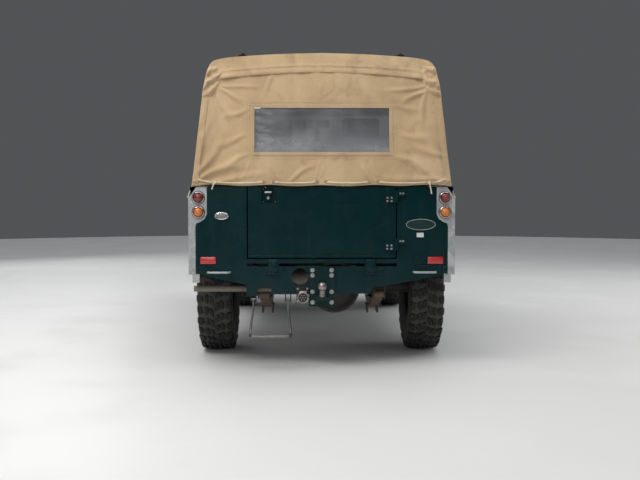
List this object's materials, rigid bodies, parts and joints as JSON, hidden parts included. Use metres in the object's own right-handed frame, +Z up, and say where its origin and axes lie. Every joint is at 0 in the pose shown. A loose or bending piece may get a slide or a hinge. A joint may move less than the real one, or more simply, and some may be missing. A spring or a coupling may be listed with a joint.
{
  "type": "short-wheelbase light four-wheel-drive vehicle with a canvas hood",
  "caption": "Unarmed light utility 4x4: flat-sided green body, khaki canvas hood, spare wheel on the bonnet, galvanised corners; wheels, steering, doors and bonnet move.",
  "frame": {"origin": "middle of the outline's box, on the ground under the tyres", "axes": "+Y forward, +X to the vehicle's right, +Z up"},
  "size_m": [1.8698, 3.743, 1.8834],
  "materials": {
    "chassis": "satin",
    "body_green": "gloss",
    "galvanised": "satin",
    "lamp": "gloss",
    "black": "satin",
    "rusty_steel": "rough",
    "engine_metal": "rough",
    "seat_vinyl": "satin",
    "canvas": "matt",
    "clear_sheet": "clear",
    "tyre_rubber": "matt"
  },
  "bodies": {
    "body": {"bulkhead": "body_green", "cab_floor": "chassis", "chassis_frame": "chassis", "corner_plates": "galvanised", "crossmember_rear": "body_green", "curtain_window": "clear_sheet", "dampers": "chassis", "engine_block": "engine_metal", "exhaust": "rusty_steel", "front_axle_case": "chassis", "front_bumper": "galvanised", "front_lamps": "lamp", "front_wings": "body_green", "fuel_tank": "chassis", "gearbox": "chassis", "grille": "galvanised", "hem_rope": "canvas", "hood_canvas": "canvas", "hood_frame": "galvanised", "leaf_springs": "rusty_steel", "propshafts": "chassis", "radiator_panel": "body_green", "rear_axle_case": "chassis", "rear_curtain": "canvas", "rear_lamps": "lamp", "rear_tub": "body_green", "seat_box": "chassis", "seats": "seat_vinyl", "tow_hitch": "body_green", "trailer_socket": "black", "windscreen_frame": "body_green", "windscreen_glass": "clear_sheet", "wing_mirrors": "black"},
    "wheel_front_left": {"tyre_front_left": "tyre_rubber", "rim_front_left": "body_green"},
    "wheel_front_right": {"tyre_front_right": "tyre_rubber", "rim_front_right": "body_green"},
    "wheel_rear_left": {"tyre_rear_left": "tyre_rubber", "rim_rear_left": "body_green"},
    "wheel_rear_right": {"tyre_rear_right": "tyre_rubber", "rim_rear_right": "body_green"},
    "knuckle_left": {"knuckle_left": "chassis"},
    "knuckle_right": {"knuckle_right": "chassis"},
    "track_rod": {"track_rod": "chassis"},
    "steering_wheel": {"steering_wheel": "black"},
    "door_left": {"door_left": "body_green", "door_top_left": "body_green", "door_glass_left": "clear_sheet"},
    "door_right": {"door_right": "body_green", "door_top_right": "body_green", "door_glass_right": "clear_sheet"},
    "rear_door": {"rear_door": "body_green"},
    "bonnet": {"bonnet": "body_green", "spare_wheel": "tyre_rubber"},
    "rear_step": {"rear_step": "chassis"}
  },
  "joints": [
    {"name": "roll_front_left", "type": "hinge", "parent": "knuckle_left", "child": "wheel_front_left", "pos_m": [-0.654, 1.1815, 0.4], "axis": [1, 0, 0], "continuous": true},
    {"name": "roll_front_right", "type": "hinge", "parent": "knuckle_right", "child": "wheel_front_right", "pos_m": [0.654, 1.1815, 0.4], "axis": [1, 0, 0], "continuous": true},
    {"name": "roll_rear_left", "type": "hinge", "parent": "body", "child": "wheel_rear_left", "pos_m": [-0.654, -1.0535, 0.4], "axis": [1, 0, 0], "continuous": true},
    {"name": "roll_rear_right", "type": "hinge", "parent": "body", "child": "wheel_rear_right", "pos_m": [0.654, -1.0535, 0.4], "axis": [1, 0, 0], "continuous": true},
    {"name": "steer_left", "type": "hinge", "parent": "body", "child": "knuckle_left", "pos_m": [-0.5, 1.1815, 0.4], "axis": [0, 0, 1], "range_deg": [-24, 24]},
    {"name": "steer_right", "type": "hinge", "parent": "body", "child": "knuckle_right", "pos_m": [0.5, 1.1815, 0.4], "axis": [0, 0, 1], "range_deg": [-24, 24]},
    {"name": "track_rod_pivot", "type": "hinge", "parent": "knuckle_left", "child": "track_rod", "pos_m": [-0.5, 1.3715, 0.43], "axis": [0, 0, 1], "range_deg": [-24, 24]},
    {"name": "steering_wheel_turn", "type": "hinge", "parent": "body", "child": "steering_wheel", "pos_m": [0.4, 0.1165, 1.05], "axis": [0, -0.8307, 0.5567], "range_deg": [-360, 360]},
    {"name": "door_right_hinge", "type": "hinge", "parent": "body", "child": "door_right", "pos_m": [0.771, 0.5185, 0.7], "axis": [0, 0, 1], "range_deg": [0, 80]},
    {"name": "door_left_hinge", "type": "hinge", "parent": "body", "child": "door_left", "pos_m": [-0.771, 0.5185, 0.7], "axis": [0, 0, -1], "range_deg": [0, 80]},
    {"name": "rear_door_hinge", "type": "hinge", "parent": "body", "child": "rear_door", "pos_m": [0.4275, -1.7655, 0.7], "axis": [0, 0, 1], "range_deg": [0, 100]},
    {"name": "bonnet_hinge", "type": "hinge", "parent": "body", "child": "bonnet", "pos_m": [0, 0.5715, 1.109], "axis": [1, 0, 0], "range_deg": [0, 50]},
    {"name": "step_fold", "type": "hinge", "parent": "body", "child": "rear_step", "pos_m": [-0.295, -1.7435, 0.401], "axis": [-1, 0, 0], "range_deg": [0, 95]}
  ],
  "couplings": [
    {"joint": "steer_right", "follows": "steer_left", "ratio": 1},
    {"joint": "track_rod_pivot", "follows": "steer_left", "ratio": -1},
    {"joint": "steering_wheel_turn", "follows": "steer_left", "ratio": 15}
  ]
}
